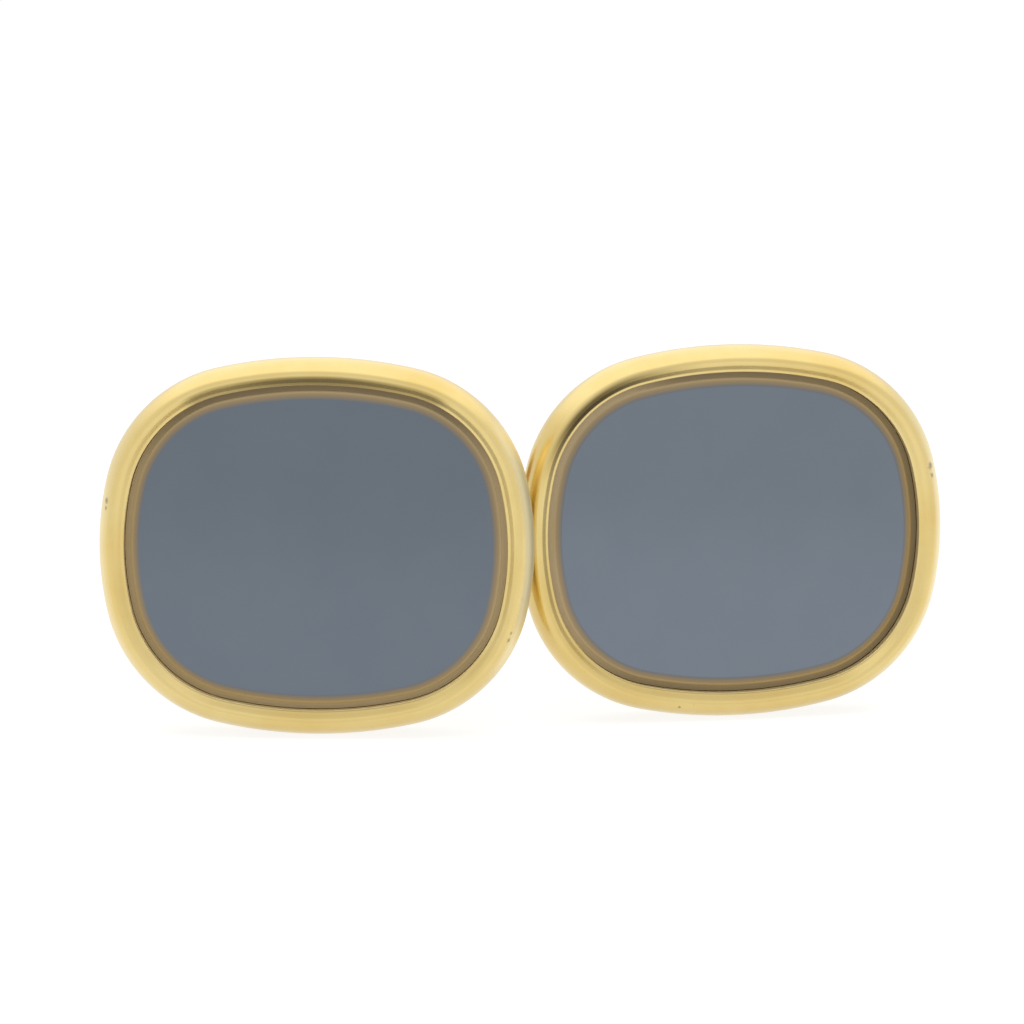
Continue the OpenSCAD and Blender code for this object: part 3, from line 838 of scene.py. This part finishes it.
dome_height = PIN_HEAD_HEIGHT - PIN_HEAD_RIM
dome_radius = (PIN_HEAD_RADIUS ** 2 + dome_height ** 2) / (2 * dome_height)
dome_half = math.asin(PIN_HEAD_RADIUS / dome_radius)
dome_centre = (0.0, ARM_OUT + PIN_HEAD_HEIGHT - dome_radius)
pin_end = [(PIN_RADIUS, ARM_OUT), (PIN_HEAD_RADIUS - PIN_HEAD_RIM, ARM_OUT)]
pin_end += arc(dome_centre, dome_radius, math.pi / 2 - dome_half, math.pi / 2, steps=14)
pin = turn_profile([(abs(r), -h) for r, h in reversed(pin_end)] + [(abs(r), h) for r, h in pin_end])
pin_gilding = gilding("pin_gilding", light=(0.76, 0.57, 0.23), deep=(0.68, 0.48, 0.16),
                      roughness=(0.22, 0.36), line_height=0.00002, speck_size=0.1)
put_in_place(pin, "peened_pin", "pivot_pin", "cufflink", pin_gilding, turned=PIN_PLACE)

# Swivel bars
# The bar is a length of gilt tube that turns on the pin, bored across for it. Its ends meet the caps
# in a fine line, where both edges are eased.
BAR_LENGTH, BAR_WALL, CAP_RIM = 16.5, 0.4, 0.4
TUBE_BORE = BAR_RADIUS - BAR_WALL
TUBE_HALF = BAR_LENGTH / 2 - BAR_RADIUS - CAP_RIM
PIVOT_GAP = 0.04
BAR_EASE = 0.04
BAR_ANGLE = math.radians(45.0)
BAR_PLACE = Matrix.Translation((0.0, 0.0, -PIVOT_DEPTH)) @ Matrix.Rotation(-BAR_ANGLE, 4, "X")

tube = draw_ring([(TUBE_BORE, 0.0, -TUBE_HALF), (BAR_RADIUS, 0.0, -TUBE_HALF),
                  (BAR_RADIUS, 0.0, TUBE_HALF), (TUBE_BORE, 0.0, TUBE_HALF)])
turn_round()
drill_across(tube, PIN_RADIUS + PIVOT_GAP, 3 * BAR_RADIUS, 0.0)
ease_edges(tube, BAR_EASE, segments=3)
bar_gilding = gilding("bar_gilding", light=(0.78, 0.59, 0.24), deep=(0.70, 0.50, 0.17),
                      roughness=(0.15, 0.24), line_height=0.000004, speck_size=0.12)
put_in_place(tube, "swivel_tube", "bar_tube", "swivel_bar", bar_gilding, turned=BAR_PLACE)

# End caps
# A round gilt cap is plugged into each end of the bar's tube, and its rim is eased as the tube's end
# is. The cufflink stands on the lower one.
CAP_PLUG, PLUG_GAP = 1.0, 0.01
PLUG_RADIUS = TUBE_BORE - PLUG_GAP

cap_profile = [(0.0, -CAP_PLUG), (PLUG_RADIUS, -CAP_PLUG), (PLUG_RADIUS, 0.0), (BAR_RADIUS - BAR_EASE, 0.0)]
cap_profile += arc((BAR_RADIUS - BAR_EASE, BAR_EASE), BAR_EASE, -math.pi / 2, 0.0, steps=4)[1:]
cap_profile += arc((0.0, CAP_RIM), BAR_RADIUS, 0.0, math.pi / 2, steps=40)
for end, turned_over in (("upper", 0.0), ("lower", math.pi)):
    cap = turn_profile(cap_profile)
    cap_place = BAR_PLACE @ Matrix.Rotation(turned_over, 4, "X") @ Matrix.Translation((0.0, 0.0, TUBE_HALF))
    put_in_place(cap, f"{end}_end_cap", f"bar_{end}_cap", "swivel_bar", bar_gilding,
                 turned=cap_place)

# Cement
# A thin grey bed of cement holds the stone on the back plate. It keeps its solid, and its surface is
# uneven and grainy.
CEMENT_LIGHT, CEMENT_DEEP = (0.36, 0.35, 0.32), (0.24, 0.235, 0.22)


def dress_nodes(node, finish):
    """Gives a finish to a piece of both cufflinks that keeps its solid."""
    for side in SIDES:
        frame["nodes"][f"{side}_{node}"].data.materials.clear()
        frame["nodes"][f"{side}_{node}"].data.materials.append(finish)


cement_finish, tree = new_finish("stone_cement")
place = place_on_object(tree)
lumps = add_node(tree, "ShaderNodeTexNoise",
                 {"Vector": place, "Scale": 900.0, "Detail": 5.0, "Roughness": 0.6}).outputs[0]
cement_bump = add_node(tree, "ShaderNodeBump", {"Strength": 0.6, "Distance": 0.00004, "Height": lumps})
close_finish(tree, {
    "Base Color": mix_colours(tree, spread(tree, lumps, 0.3, 0.7), CEMENT_LIGHT, CEMENT_DEEP),
    "Roughness": 0.85,
    "Normal": cement_bump.outputs[0],
})
dress_nodes("cement", cement_finish)

# Friction leaves
# A bowed leaf of spring steel lies in each bar's tube and presses on the pin. It keeps its solid, with
# the long grain of rolled strip.
STEEL_LIGHT, STEEL_DEEP = (0.50, 0.50, 0.50), (0.38, 0.38, 0.40)
GRAIN_STRETCH = (14.0, 1.0, 1.0)

leaf_finish, tree = new_finish("rolled_spring_steel")
rolled = add_node(tree, "ShaderNodeMapping", {"Vector": place_on_object(tree), "Scale": GRAIN_STRETCH})
grain = add_node(tree, "ShaderNodeTexNoise",
                 {"Vector": rolled.outputs[0], "Scale": 900.0, "Detail": 3.0}).outputs[0]
close_finish(tree, {
    "Base Color": mix_colours(tree, spread(tree, grain, 0.35, 0.65), STEEL_LIGHT, STEEL_DEEP),
    "Roughness": spread(tree, grain, 0.35, 0.65, 0.25, 0.40),
    "Metallic": 1.0,
})
dress_nodes("friction_leaf", leaf_finish)
